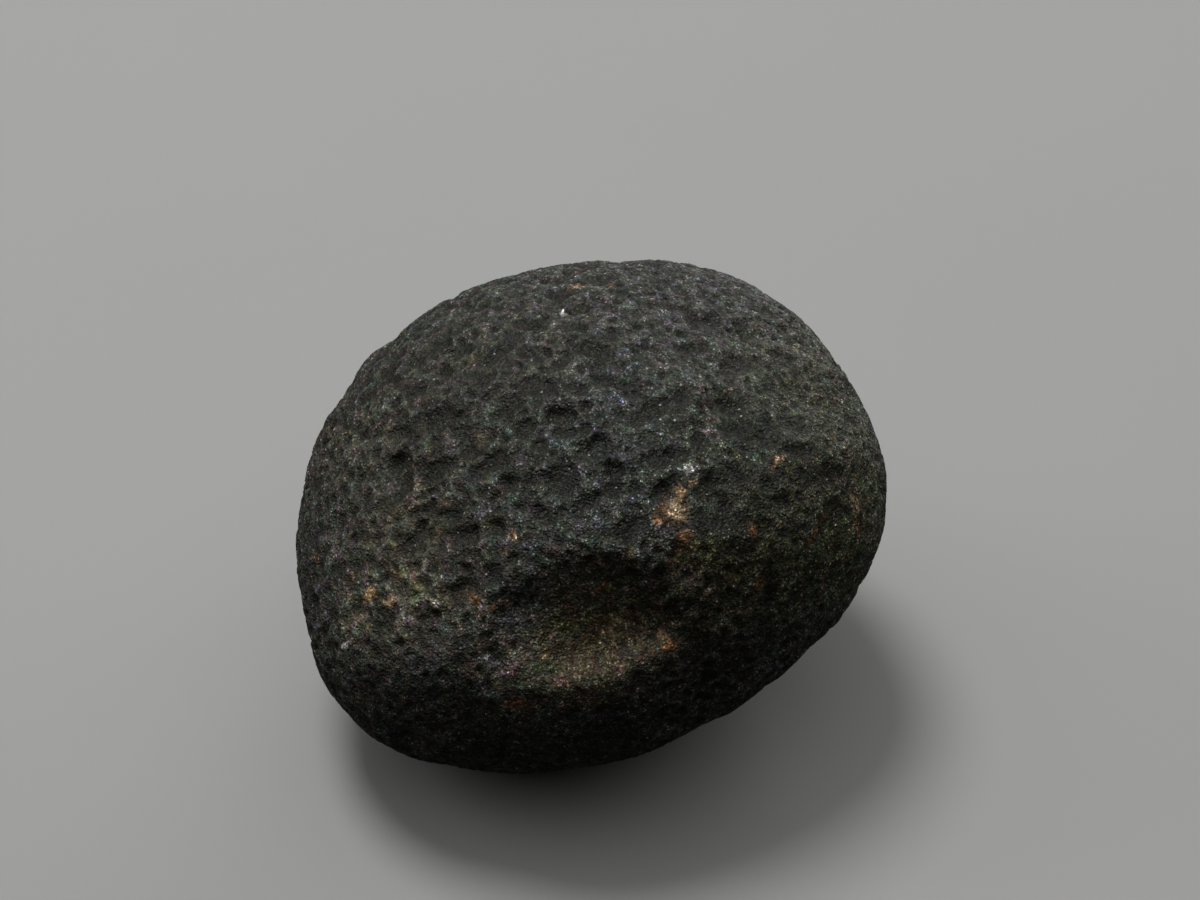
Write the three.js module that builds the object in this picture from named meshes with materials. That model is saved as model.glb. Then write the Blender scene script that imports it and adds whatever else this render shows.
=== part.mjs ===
// A saffordite nodule: one thumb-sized lump of dark natural glass, rounded and frosted all over.
//
// The nodule is a bun-shaped body with a broad top, a tight shoulder round its middle and an
// underside that tucks in to a small worn foot. Its right end sits a little higher than its left.
// A half-moon hollow, like a thumbprint, is pressed into the front just above the shoulder, and
// shallow dents cover the whole surface.
//
// Frame: millimetres, +Z up, -Y towards the hollow, origin on the table under the middle.

import * as THREE from "three";
import { mergeVertices } from "three/addons/utils/BufferGeometryUtils.js";

// ---------------------------------------------------------------- driving dimensions

const LENGTH = 28.0; // left to right
const DEPTH = 26.0; // front to back
const HEIGHT = 21.4; // as it rests

const LEAN = 7; // degrees that the right end is tipped up
const FOOT_DEPTH = 0.55; // how far the underside is worn away into the flat foot
const MESH_DETAIL = 19; // cuts in each edge of the starting icosahedron, for 8000 triangles
const SAME_POINT = 1e-5; // corners of the unit sphere closer than this are joined

// Body half-sizes before the flats and lumps, along its own length, depth and height.
const BODY = new THREE.Vector3(14.2, 13.6, 11.3);

// Worn flats: where each one faces, in degrees, and how far it lies from the middle of the body.
// An azimuth of 0 faces right, 90 faces back and -90 faces the front.
const FLATS = [
  { name: "front right face", azimuth: -45, elevation: -5, distance: 12.93 },
  { name: "flat beside the hollow", azimuth: -65, elevation: -1, distance: 12.92 },
  { name: "lower right face", azimuth: -33, elevation: -37, distance: 12.8 },
  { name: "lower front face", azimuth: -58, elevation: -50, distance: 11.5 },
  { name: "upper left slope", azimuth: -130, elevation: 52, distance: 12.1 },
  { name: "upper right slope", azimuth: 10, elevation: 58, distance: 12.2 },
  { name: "left front slope", azimuth: -132, elevation: 38, distance: 12.7 },
  { name: "left underside", azimuth: -140, elevation: -60, distance: 11.9 },
  { name: "back face", azimuth: 100, elevation: 8, distance: 13.0 },
  { name: "back underside", azimuth: 120, elevation: -45, distance: 11.8 },
];
const FLAT_SHARPNESS = 16; // higher makes the edges between flats tighter

// Lumps: broad swellings, by direction, angular spread in degrees and height.
const LUMPS = [
  { name: "lower left shoulder", azimuth: -148, elevation: -28, spread: 29, height: 2.0 },
  { name: "left shoulder", azimuth: -136, elevation: 2, spread: 20, height: 0.6 },
  { name: "upper right shoulder", azimuth: 42, elevation: 36, spread: 26, height: 0.8 },
  { name: "front lip", azimuth: -92, elevation: -4, spread: 18, height: 0.3 },
  { name: "upper back swelling", azimuth: 118, elevation: 46, spread: 20, height: 0.18 },
  { name: "back left swelling", azimuth: 150, elevation: 5, spread: 30, height: 0.5 },
];

// Gentle waviness of the whole skin, as ripples that bend so that no two crests run alike.
const WAVES = { height: 0.14, length: 5.6, bend: 1.4 };

// The half-moon hollow in the front, as if a thumb lay across the nodule and was pressed in twice:
// once for the steep wall under the brow, and once lower and wider for the ledge that faces up.
const SCOOPS = [
  {
    name: "wall under the brow",
    azimuth: -91.1, // towards the middle of the thumb
    elevation: 19.8,
    reach: 15.28, // from the middle of the body to the middle of the thumb
    thumb: new THREE.Vector3(4.8, 2.66, 3.62), // half its length, thickness and height
    yaw: 9.5, // degrees that its right end is pushed further in
    roll: -8.6, // degrees that its right end is lifted
  },
  {
    name: "ledge",
    azimuth: -90.6,
    elevation: 15.2,
    reach: 16.41,
    thumb: new THREE.Vector3(6.7, 2.75, 2.53),
    yaw: 10.2,
    roll: 0.1,
  },
];
const SCOOP_ROUNDING = 3.4; // how softly the scoops' edges run into the skin

// Dents that stand out by themselves: direction, size along and across, lay in degrees, depth.
const NAMED_DENTS = [
  { name: "crescent gouge", azimuth: -54, elevation: 61, along: 3.6, across: 1.8, lay: 10, depth: 0.34 },
  { name: "left groove", azimuth: -155, elevation: 48, along: 2.8, across: 1.3, lay: 5, depth: 0.3 },
  { name: "shoulder slot", azimuth: -123, elevation: 29, along: 1.9, across: 1.1, lay: 0, depth: 0.28 },
  { name: "right dimple", azimuth: -20, elevation: 55, along: 1.9, across: 1.4, lay: 20, depth: 0.26 },
];

// The dents all over: an even scatter whose sizes and places are shaken by a seeded sequence.
const DENTS = {
  count: 420,
  size: [1.1, 2.3],
  stretch: [0.75, 1.25], // how far a dent is drawn out one way and narrowed the other
  depthShare: [0.12, 0.28], // depth as a share of size
  shake: 1.1, // how far dents stray from the even scatter, as a share of their spacing
  seed: 4271,
};
const DENT_REACH = 1.25; // where a dent has run out into the skin, as a share of its half-size

// Where the skin is smoother the scattered dents are shallower, down to this share of their depth.
const SMOOTH_PATCH = { azimuth: -32, elevation: 2, inner: 15, outer: 45, share: 0.35 };

// ---------------------------------------------------------------- small helpers

const { degToRad, lerp, radToDeg, smoothstep } = THREE.MathUtils;

function direction(azimuth, elevation) {
  const turn = degToRad(azimuth);
  const rise = degToRad(elevation);
  const level = Math.cos(rise);
  return new THREE.Vector3(Math.cos(turn) * level, Math.sin(turn) * level, Math.sin(rise));
}

// A repeatable sequence of numbers from 0 to 1.
function sequence(seed) {
  let state = seed;
  return () => {
    state = (state * 16807) % 2147483647;
    return state / 2147483647;
  };
}

// Two axes lying across a direction, level and upright, then turned about it.
function crossAxes(out, turn) {
  const right = new THREE.Vector3(0, 0, 1).cross(out).normalize();
  right.applyAxisAngle(out, degToRad(turn));
  return { right, up: out.clone().cross(right) };
}

// ---------------------------------------------------------------- body

const flats = FLATS.map((flat) => ({ ...flat, out: direction(flat.azimuth, flat.elevation) }));
const lumps = LUMPS.map((lump) => ({ ...lump, out: direction(lump.azimuth, lump.elevation) }));

// Rise or fall of the waves at a point, as three bent ripples that cross each other.
function waviness(point) {
  const [x, y, z] = point.clone().multiplyScalar((2 * Math.PI) / WAVES.length);
  const ripple = (along, across) => Math.sin(along + WAVES.bend * Math.sin(across));
  return (WAVES.height * (ripple(x, y) + ripple(y, z) + ripple(z, x))) / 3;
}

// Distance from the middle to the surface of the plain body along a unit direction.
function bodyRadius(out) {
  let sum = out.clone().divide(BODY).length() ** FLAT_SHARPNESS;
  for (const flat of flats) {
    sum += (Math.max(0, out.dot(flat.out)) / flat.distance) ** FLAT_SHARPNESS;
  }
  let radius = sum ** (-1 / FLAT_SHARPNESS);
  for (const lump of lumps) {
    const away = out.angleTo(lump.out) / degToRad(lump.spread);
    radius += lump.height * Math.exp(-away * away);
  }
  return radius + waviness(out.clone().multiplyScalar(radius));
}

// ---------------------------------------------------------------- hollow

const scoops = SCOOPS.map(({ azimuth, elevation, reach, thumb, yaw, roll }) => {
  const middle = direction(azimuth, elevation).multiplyScalar(reach);
  const turn = new THREE.Euler(0, -degToRad(roll), degToRad(yaw), "ZYX");
  const placed = new THREE.Matrix4().compose(middle, new THREE.Quaternion().setFromEuler(turn), thumb);
  const toThumb = placed.invert();
  return { toThumb, start: new THREE.Vector3().applyMatrix4(toThumb) };
});

// Distance from the middle of the body to a scoop's thumb along a unit direction, if it meets it.
function scoopRadius(out, { toThumb, start }) {
  const step = out.clone().applyMatrix4(toThumb).sub(start);
  const along = -step.dot(start);
  const room = along * along - step.lengthSq() * (start.lengthSq() - 1);
  if (along < 0 || room < 0) return Infinity;
  return (along - Math.sqrt(room)) / step.lengthSq();
}

// Whether a unit direction points into the hollow.
function inHollow(out) {
  const radius = bodyRadius(out);
  return scoops.some((scoop) => scoopRadius(out, scoop) < radius);
}

// The lesser of two distances, with the corner between them rounded off.
function softMinimum(first, second, rounding) {
  const overlap = Math.max(0, rounding - Math.abs(first - second)) / rounding;
  return Math.min(first, second) - (overlap * overlap * rounding) / 4;
}

// Point of the surface along a unit direction, before the dents.
function hollowedPoint(out) {
  let radius = bodyRadius(out);
  for (const scoop of scoops) radius = softMinimum(radius, scoopRadius(out, scoop), SCOOP_ROUNDING);
  return out.clone().multiplyScalar(radius);
}

// ---------------------------------------------------------------- dents

function dentAt(out, { along, across, lay, depth }) {
  return { middle: hollowedPoint(out), axes: crossAxes(out, lay), along, across, depth };
}

// Direction of one of the scattered dents before it strays: an even spiral from top to bottom.
function spiralDirection(index) {
  const goldenTurn = 180 * (3 - Math.sqrt(5));
  const height = 1 - (2 * index + 1) / DENTS.count;
  return direction(index * goldenTurn, radToDeg(Math.asin(height)));
}

function scatteredDents() {
  const next = sequence(DENTS.seed);
  const patch = direction(SMOOTH_PATCH.azimuth, SMOOTH_PATCH.elevation);
  const spacing = Math.sqrt((4 * Math.PI) / DENTS.count);
  const dents = [];
  for (let i = 0; i < DENTS.count; i++) {
    const stray = new THREE.Vector3(next() - 0.5, next() - 0.5, next() - 0.5);
    const out = spiralDirection(i).addScaledVector(stray, spacing * DENTS.shake).normalize();
    if (inHollow(out)) continue; // the hollow has a skin of its own
    const size = lerp(...DENTS.size, next() ** 2);
    const stretch = lerp(...DENTS.stretch, next());
    const fromPatch = radToDeg(out.angleTo(patch));
    const roughness = smoothstep(fromPatch, SMOOTH_PATCH.inner, SMOOTH_PATCH.outer);
    const depth = size * lerp(...DENTS.depthShare, next()) * lerp(SMOOTH_PATCH.share, 1, roughness);
    const shape = { along: size * stretch, across: size / stretch, lay: 180 * next(), depth };
    dents.push(dentAt(out, shape));
  }
  return dents;
}

const namedDents = NAMED_DENTS.map((dent) => dentAt(direction(dent.azimuth, dent.elevation), dent));
const dents = [...namedDents, ...scatteredDents()];

// How deep the dents are at a point of the body: where they overlap, the deepest counts.
function dentDepth(point) {
  let deepest = 0;
  for (const dent of dents) {
    const offset = point.clone().sub(dent.middle);
    if (offset.length() > dent.along + dent.across) continue;
    const along = offset.dot(dent.axes.right) / (dent.along / 2);
    const across = offset.dot(dent.axes.up) / (dent.across / 2);
    const bowl = 1 - smoothstep(Math.hypot(along, across), 0, DENT_REACH);
    deepest = Math.max(deepest, dent.depth * bowl);
  }
  return deepest;
}

// ---------------------------------------------------------------- nodule

// Moves each point of a unit sphere out to the surface of the finished nodule.
function shapeNodule(geometry) {
  const position = geometry.getAttribute("position");
  const out = new THREE.Vector3();
  for (let i = 0; i < position.count; i++) {
    out.fromBufferAttribute(position, i).normalize();
    const point = hollowedPoint(out);
    point.addScaledVector(out, -dentDepth(point));
    position.setXYZ(i, point.x, point.y, point.z);
  }
  return geometry;
}

// Wears the lowest part of the leaning body away to a flat foot.
function wearFoot(geometry) {
  geometry.computeBoundingBox();
  const floor = geometry.boundingBox.min.z + FOOT_DEPTH;
  const position = geometry.getAttribute("position");
  for (let i = 0; i < position.count; i++) {
    position.setZ(i, Math.max(position.getZ(i), floor));
  }
  return geometry;
}

// Brings the geometry to its exact overall size, standing on the origin.
function fitToSize(geometry) {
  geometry.computeBoundingBox();
  const box = geometry.boundingBox;
  const size = box.getSize(new THREE.Vector3());
  const middle = box.getCenter(new THREE.Vector3());
  geometry.translate(-middle.x, -middle.y, -box.min.z);
  return geometry.scale(LENGTH / size.x, DEPTH / size.y, HEIGHT / size.z);
}

function noduleGeometry() {
  const sphere = new THREE.IcosahedronGeometry(1, MESH_DETAIL);
  sphere.deleteAttribute("normal");
  sphere.deleteAttribute("uv");
  const nodule = shapeNodule(mergeVertices(sphere, SAME_POINT));
  nodule.rotateY(-degToRad(LEAN));
  fitToSize(wearFoot(nodule));
  nodule.computeVertexNormals();
  return nodule;
}

const frostedGlass = new THREE.MeshStandardMaterial({
  name: "frosted dark glass",
  color: 0x35332f,
  roughness: 0.72,
  metalness: 0,
});

const nodule = new THREE.Mesh(noduleGeometry(), frostedGlass);
nodule.name = "nodule";

const saffordite = new THREE.Group();
saffordite.name = "saffordite";
saffordite.add(nodule);

export default saffordite;
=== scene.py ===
"""A saffordite nodule, a lump of natural dark glass with a frosted, pitted skin, on a plain pale floor.

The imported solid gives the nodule's form: its flats, its hollow and its larger dents. This script grows the
fine skin on a copy of it, stains it, dresses it and sets it in soft studio light. Sizes are in millimetres
unless a name says otherwise, and every place is a direction seen from the middle of the nodule's box: an
azimuth of 0 looks right, 90 back and -90 to the front, and the elevation is counted up from level.
"""

import logging
import math
import random
from collections.abc import Iterable
from dataclasses import dataclass, field
from enum import Enum
from functools import cached_property

import bmesh
import bpy
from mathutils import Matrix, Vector, noise
from mathutils.kdtree import KDTree


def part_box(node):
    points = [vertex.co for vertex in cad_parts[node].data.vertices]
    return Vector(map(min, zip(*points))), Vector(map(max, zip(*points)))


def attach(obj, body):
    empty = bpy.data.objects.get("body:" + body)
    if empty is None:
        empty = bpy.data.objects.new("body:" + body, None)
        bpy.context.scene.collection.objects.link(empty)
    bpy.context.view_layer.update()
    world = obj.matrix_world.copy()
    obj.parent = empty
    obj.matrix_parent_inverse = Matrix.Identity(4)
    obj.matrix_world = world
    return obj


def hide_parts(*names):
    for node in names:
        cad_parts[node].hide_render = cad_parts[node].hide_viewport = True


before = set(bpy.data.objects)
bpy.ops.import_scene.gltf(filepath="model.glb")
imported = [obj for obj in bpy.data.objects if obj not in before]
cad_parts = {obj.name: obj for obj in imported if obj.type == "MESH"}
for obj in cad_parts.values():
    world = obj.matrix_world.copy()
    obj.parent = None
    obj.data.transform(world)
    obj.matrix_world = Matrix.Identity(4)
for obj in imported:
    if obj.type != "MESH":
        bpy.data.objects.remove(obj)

LOG = logging.getLogger("saffordite")
MM = 0.001

# Steps between the three noises that make up a push in three directions.
PULLS_APART = (Vector((0.0, 0.0, 0.0)), Vector((37.3, 11.9, 5.7)), Vector((7.1, 53.3, 29.9)))

# Where a stain starts to fade and where it ends, in half sizes from its middle.
STAIN_FADE = (0.1, 1.7)
# The share of a zone's spread within which it has its full effect.
ZONE_CORE = 0.2

# The sockets by which a Mix node takes and gives colours.
MIX_COLOURS = (6, 7)
MIX_RESULT = 2

Colour = tuple[float, float, float]
ColourAndShare = tuple[float, float, float, float]
Socket = bpy.types.NodeSocket
Value = Socket | float
Paint = Socket | Colour


# ---------------------------------------------------------------- small helpers


def direction(azimuth: float, elevation: float) -> Vector:
    """Turns two angles in degrees into a unit direction.

    Args:
        azimuth: Degrees round from the right, through the back.
        elevation: Degrees up from level.

    Returns:
        The unit vector.
    """
    turn = math.radians(azimuth)
    rise = math.radians(elevation)
    level = math.cos(rise)
    return Vector((math.cos(turn) * level, math.sin(turn) * level, math.sin(rise)))


def smoothstep(value: float, start: float, end: float) -> float:
    """Eases from 0 to 1 as a value goes from start to end.

    Args:
        value: The value to ease.
        start: Where the result leaves 0.
        end: Where the result reaches 1.

    Returns:
        A number from 0 to 1.
    """
    share = min(max((value - start) / (end - start), 0.0), 1.0)
    return share * share * (3.0 - 2.0 * share)


def lerp(low: float, high: float, share: float) -> float:
    """Returns the value a given share of the way from low to high."""
    return low + (high - low) * share


def even(factor: float) -> Colour:
    """Returns a tone that lightens or darkens and keeps the hue."""
    return (factor, factor, factor)


def pull(place: Vector) -> Vector:
    """Returns a smoothly changing push at a place, the same on every run, as noise_vector's isn't."""
    return Vector(noise.noise(place + apart) for apart in PULLS_APART)


def tangents(out: Vector, lay: float) -> tuple[Vector, Vector]:
    """Finds two directions along the skin, square to each other.

    Args:
        out: The direction from the middle of the nodule.
        lay: Degrees that the first is turned up from level, seen from outside.

    Returns:
        The two directions.
    """
    level = Vector((0.0, 0.0, 1.0)).cross(out).normalized()
    up = out.cross(level)
    turn = math.radians(lay)
    along = level * math.cos(turn) + up * math.sin(turn)
    return along, out.cross(along)


def point_tree(points: list[Vector]) -> KDTree:
    """Sorts points for finding the nearest.

    Args:
        points: The points.

    Returns:
        The sorted tree.
    """
    tree = KDTree(len(points))
    for index, point in enumerate(points):
        tree.insert(point, index)
    tree.balance()
    return tree


def aim(thing: bpy.types.Object, target: Vector, arm: Vector, distance: float) -> None:
    """Puts a lamp or a camera at the end of an arm from its target, links it and turns it to face back.

    Args:
        thing: The lamp or the camera.
        target: The point it faces.
        arm: The unit direction from the target to it.
        distance: How far off it is, in metres.
    """
    thing.location = target + arm * distance
    thing.rotation_euler = (-arm).to_track_quat("-Z", "Y").to_euler()
    bpy.context.scene.collection.objects.link(thing)


# ---------------------------------------------------------------- skin


@dataclass(frozen=True)
class Spot:
    """A place on the skin.

    Attributes:
        azimuth: Degrees round to its middle.
        elevation: Degrees up to its middle.
    """

    azimuth: float
    elevation: float

    @cached_property
    def middle(self) -> Vector:
        """Returns the direction of its middle."""
        return direction(self.azimuth, self.elevation)

    def away(self, out: Vector) -> float:
        """Returns how many degrees a direction is from its middle."""
        return math.degrees(out.angle(self.middle))


class Body:
    """The places on the rounded body, ready for finding neighbours."""

    def __init__(self, places: list[Vector], outs: list[Vector], warp: float, warp_size: float) -> None:
        """Bends the places out of true, so that round pits turn out uneven, and sorts them.

        Args:
            places: The places.
            outs: Their directions from the middle of the nodule.
            warp: How far the places are pulled.
            warp_size: How far apart the pulls are.
        """
        self.places = [place + pull(place / warp_size) * warp for place in places]
        self.by_place = point_tree(self.places)
        self.by_direction = point_tree(outs)


@dataclass(frozen=True)
class Gouge(Spot):
    """One pit that stands out by itself.

    Attributes:
        length: Its longer size.
        width: Its shorter size.
        lay: Degrees that its length is turned up from level, seen from outside.
        depth: Its depth.
    """

    length: float
    width: float
    lay: float
    depth: float

    def sink(self, body: Body, depths: list[float]) -> None:
        """Deepens the places that lie in the pit.

        Args:
            body: The places.
            depths: Their depths so far, which are changed.
        """
        along, across = tangents(self.middle, self.lay)
        middle = body.places[body.by_direction.find(self.middle)[1]]
        for place, index, _ in body.by_place.find_range(middle, self.length / 2.0):
            offset = place - middle
            share = math.hypot(offset.dot(along) / self.length, offset.dot(across) / self.width) * 2.0
            depths[index] = max(depths[index], self.depth * (1.0 - share * share))


# The pits that stand out: azimuth, elevation, length, width, lay and depth.
GOUGES = (
    Gouge(-61, 61, 2.6, 1.2, 10, 0.30),
    Gouge(-45, 60, 2.2, 1.2, 30, 0.25),
    Gouge(-57, 32, 3.6, 1.2, -20, 0.20),
    Gouge(-155, 48, 3.0, 1.3, 50, 0.27),
    Gouge(-99, 47, 2.6, 1.6, -65, 0.24),
    Gouge(-64, 49, 2.8, 1.1, -10, 0.33),
    Gouge(-66, 43, 1.8, 1.2, 20, 0.32),
    Gouge(-26, 20, 1.8, 1.4, -70, 0.24),
    Gouge(-8, 54, 2.8, 1.3, -25, 0.32),
    Gouge(-75, 82, 2.6, 1.0, -35, 0.29),
    Gouge(-123, 29, 2.1, 1.0, 25, 0.33),
    Gouge(-55, 26, 2.4, 1.3, -15, 0.20),
    Gouge(-87, 54, 2.0, 1.3, 35, 0.27),
    Gouge(-125, 68, 2.3, 1.2, 5, 0.29),
    Gouge(-126, 46, 2.2, 1.1, 70, 0.29),
    Gouge(-135, 6, 1.6, 1.3, 80, 0.20),
    Gouge(-120, 18, 2.1, 1.1, 35, 0.27),
    Gouge(-36, 47, 1.9, 1.0, -25, 0.29),
    Gouge(-80, 36, 2.0, 1.0, 35, 0.24),
    Gouge(-89, 42, 1.6, 0.9, 35, 0.32),
    Gouge(-81, 49, 1.4, 0.9, -10, 0.29),
    Gouge(-74, 72, 1.9, 1.0, -45, 0.29),
    Gouge(-29, 51, 1.6, 1.1, 80, 0.29),
    Gouge(-173, 68, 2.1, 1.0, -45, 0.27),
    Gouge(-46, 40, 1.8, 1.1, -60, 0.27),
    Gouge(114, 71, 2.1, 1.2, 40, 0.24),
    Gouge(-143, 37, 2.1, 1.1, 65, 0.27),
    Gouge(-102, 63, 1.7, 1.0, 5, 0.32),
    Gouge(6, 43, 1.8, 1.3, -40, 0.32),
    Gouge(-7, 65, 2.2, 0.9, -45, 0.27),
    Gouge(17, 58, 2.2, 1.0, -45, 0.27),
    Gouge(167, 51, 1.9, 1.1, -35, 0.29),
    Gouge(-22, 27, 2.0, 1.1, -40, 0.24),
    Gouge(-40, 31, 1.3, 1.0, -25, 0.29),
    Gouge(-103, 38, 1.6, 1.0, -40, 0.24),
    Gouge(-119, 57, 1.5, 0.9, 65, 0.27),
    Gouge(159, 72, 2.2, 1.0, 80, 0.27),
    Gouge(-53, 35, 1.1, 1.0, 60, 0.27),
    Gouge(-130, 32, 1.6, 1.0, 15, 0.24),
    Gouge(-133, 61, 2.0, 0.8, 50, 0.24),
    Gouge(-50, 49, 1.4, 0.9, 60, 0.27),
    Gouge(172, 37, 1.8, 1.2, 10, 0.24),
    Gouge(-109, 45, 1.2, 0.9, 15, 0.27),
    Gouge(-56, 40, 1.8, 0.9, 20, 0.22),
    Gouge(-48, 13, 1.4, 1.0, -65, 0.24),
    Gouge(-27, 35, 2.4, 0.8, -30, 0.24),
    Gouge(-148, 28, 2.0, 1.0, -85, 0.22),
    Gouge(-20, 38, 1.8, 1.1, 5, 0.27),
    Gouge(-48, 18, 1.6, 0.8, -75, 0.22),
    Gouge(-156, 32, 1.3, 0.9, 80, 0.24),
    Gouge(-137, 23, 1.8, 0.8, 90, 0.20),
    Gouge(-83, 44, 1.1, 0.9, 0, 0.24),
    Gouge(-115, 34, 1.2, 0.9, -15, 0.29),
    Gouge(-113, 23, 1.3, 0.7, 15, 0.24),
    Gouge(-116, 43, 1.1, 0.8, 10, 0.24),
    Gouge(-58, 17, 1.4, 0.9, -15, 0.24),
    Gouge(-26, 43, 1.2, 0.8, 25, 0.27),
    Gouge(-135, 46, 1.1, 0.7, 45, 0.24),
    Gouge(-163, 38, 1.8, 0.8, 45, 0.22),
)


@dataclass(frozen=True)
class Pits:
    """One size of etched pit, scattered all over the skin.

    Attributes:
        radius: The radii of the smallest and the largest pit.
        steepness: The depths of the shallowest and the deepest pit, in radii.
        clearance: How far pits keep apart, in radii.
        stretch: How much longer than wide the longest pit is.
        seed: Starts this scatter's random numbers.
    """

    radius: tuple[float, float]
    steepness: tuple[float, float]
    clearance: float
    stretch: float
    seed: int

    def sink(self, body: Body, depths: list[float]) -> None:
        """Scatters the pits where the skin is still whole and deepens the places that lie in them.

        Args:
            body: The places.
            depths: Their depths so far, which are changed.
        """
        luck = random.Random(self.seed)
        taken = [depth > 0.0 for depth in depths]
        for index in luck.sample(range(len(depths)), len(depths)):
            if taken[index]:
                continue
            middle = body.places[index]
            radius = lerp(*self.radius, luck.random())
            depth = radius * lerp(*self.steepness, luck.random())
            grain = Vector(luck.uniform(-1.0, 1.0) for _ in range(3)).normalized()
            squeeze = lerp(1.0, self.stretch, luck.random()) ** 2 - 1.0
            for place, near, away in body.by_place.find_range(middle, radius * self.clearance):
                taken[near] = True
                along = (place - middle).dot(grain)
                share = (away * away + squeeze * along * along) / (radius * radius)
                depths[near] = max(depths[near], depth * (1.0 - share))


@dataclass(frozen=True)
class Calm(Spot):
    """A part of the skin with shallower pits.

    Attributes:
        inner: Degrees from its middle within which it is calmest.
        outer: Degrees from its middle past which it has no effect.
        share: The share of their depth that pits have where it is calmest.
    """

    inner: float
    outer: float
    share: float

    def at(self, out: Vector) -> float:
        """Returns the share of their depth that pits have at a place, given by its direction."""
        return lerp(self.share, 1.0, smoothstep(self.away(out), self.inner, self.outer))


@dataclass(frozen=True)
class Skin:
    """The etched skin: pits of several sizes and a fine unevenness, calmer in some parts.

    Attributes:
        gouges: The pits that stand out.
        dimples: The scattered pits, large to middling.
        pinholes: The smallest pits, which lie in all the others too.
        nesting: How much of the shallower pit's depth is added where a gouge and a dimple meet.
        warp: How far the pits' outlines are pulled out of round.
        warp_size: How far apart the pulls are.
        crest: How far the skin's crests stand out from the rounded body.
        grain_size: How far apart the bumps of the fine unevenness are.
        grain_depth: How deep the fine unevenness is.
        grain_fading: How fast the finer layers of the unevenness fade.
        grain_gap: How many times finer each of its layers is than the one before.
        grain_layers: How many layers it has.
        calms: Its calmer parts: the right flank, the hollow and the front below it.
        dark_depth: How deep a pit's bottom is when it is fully dark; this darkness is partly painted shade.
    """

    gouges: tuple[Gouge, ...] = GOUGES
    dimples: tuple[Pits, ...] = (
        Pits(radius=(0.42, 0.66), steepness=(0.18, 0.38), clearance=2.5, stretch=2.2, seed=11),
        Pits(radius=(0.24, 0.44), steepness=(0.26, 0.54), clearance=1.65, stretch=2.0, seed=12),
    )
    pinholes: Pits = Pits(radius=(0.16, 0.26), steepness=(0.06, 0.36), clearance=1.6, stretch=1.5, seed=13)
    nesting: float = 0.4
    warp: float = 0.24
    warp_size: float = 0.65
    crest: float = 0.07
    grain_size: float = 0.42
    grain_depth: float = 0.05
    grain_fading: float = 0.8
    grain_gap: float = 2.0
    grain_layers: int = 2
    calms: tuple[Calm, ...] = (
        Calm(-30, 15, 20, 65, 0.6),
        Calm(-92, 14, 9, 22, 0.3),
        Calm(-108, -24, 20, 46, 0.45),
    )
    dark_depth: float = 0.16

    def carve(self, places: list[Vector], outs: list[Vector]) -> list[tuple[float, float]]:
        """Works out how far the skin lies below its crests, and how dark its pits are painted, partly as
        painted shade.

        Args:
            places: The places on the rounded body.
            outs: Their directions from the middle of the nodule.

        Returns:
            The depth and the darkness, from 0 to 1, of each place.
        """
        body = Body(places, outs, self.warp, self.warp_size)
        gouges = self.sink(self.gouges, body)
        dimples = self.sink(self.dimples, body)
        pinholes = self.sink((self.pinholes,), body)
        carved = []
        for place, out, gouge, dimple, pinhole in zip(places, outs, gouges, dimples, pinholes):
            calm = math.prod(patch.at(out) for patch in self.calms)
            joined = max(gouge, dimple) + self.nesting * min(gouge, dimple)
            pitted = joined * calm + pinhole
            depth = pitted + self.grain_depth * self.unevenness(place)
            carved.append((depth, min(pitted / self.dark_depth, 1.0)))
        return carved

    def sink(self, layers: Iterable[Gouge | Pits], body: Body) -> list[float]:
        """Sinks pits that keep clear of each other into whole skin.

        Args:
            layers: The pits, in the order they are sunk.
            body: The places.

        Returns:
            How deep each place lies.
        """
        depths = [0.0] * len(body.places)
        for layer in layers:
            layer.sink(body, depths)
        return depths

    def unevenness(self, place: Vector) -> float:
        """Works out the fine unevenness.

        Args:
            place: The place on the rounded body.

        Returns:
            A height from 0 to 1.
        """
        layers = (self.grain_fading, self.grain_gap, self.grain_layers)
        swell = 0.5 + 0.5 * noise.fractal(place / self.grain_size, *layers)
        return min(max(swell, 0.0), 1.0)


# ---------------------------------------------------------------- colouring


class Tint(Enum):
    """What the natural stains and specks on the skin are made of."""

    SAND = (0.52, 0.33, 0.16)
    CREAM = (0.44, 0.32, 0.185)
    OCHRE = (0.36, 0.18, 0.055)
    TAN = (0.32, 0.215, 0.115)
    BUFF = (0.22, 0.18, 0.11)
    RUST = (0.17, 0.085, 0.032)
    OLIVE = (0.14, 0.118, 0.04)
    CHALK = (0.42, 0.42, 0.40)


@dataclass(frozen=True)
class Stain(Spot):
    """A patch of mineral stain.

    Attributes:
        length: Its size one way.
        width: Its size across that.
        tint: What it is made of.
        strength: How much of the glass it hides; past 1 its solid middle is wider.
        lay: Degrees that its length is turned up from level, seen from outside.
    """

    length: float
    width: float
    tint: Tint
    strength: float = 0.9
    lay: float = 0.0

    def cover(self, out: Vector, reach: float) -> float:
        """Says how much of the stain lies at a place.

        Args:
            out: The direction from the middle of the nodule.
            reach: The distance from the middle to the skin.

        Returns:
            A share from 0 outside it to its full strength inside.
        """
        offset = (out - self.middle) * reach
        if offset.length > STAIN_FADE[1] * max(self.length, self.width) / 2.0:
            return 0.0
        along, across = tangents(self.middle, self.lay)
        away = math.hypot(offset.dot(along) / self.length, offset.dot(across) / self.width) * 2.0
        return self.strength * (1.0 - smoothstep(away, *STAIN_FADE))


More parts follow.
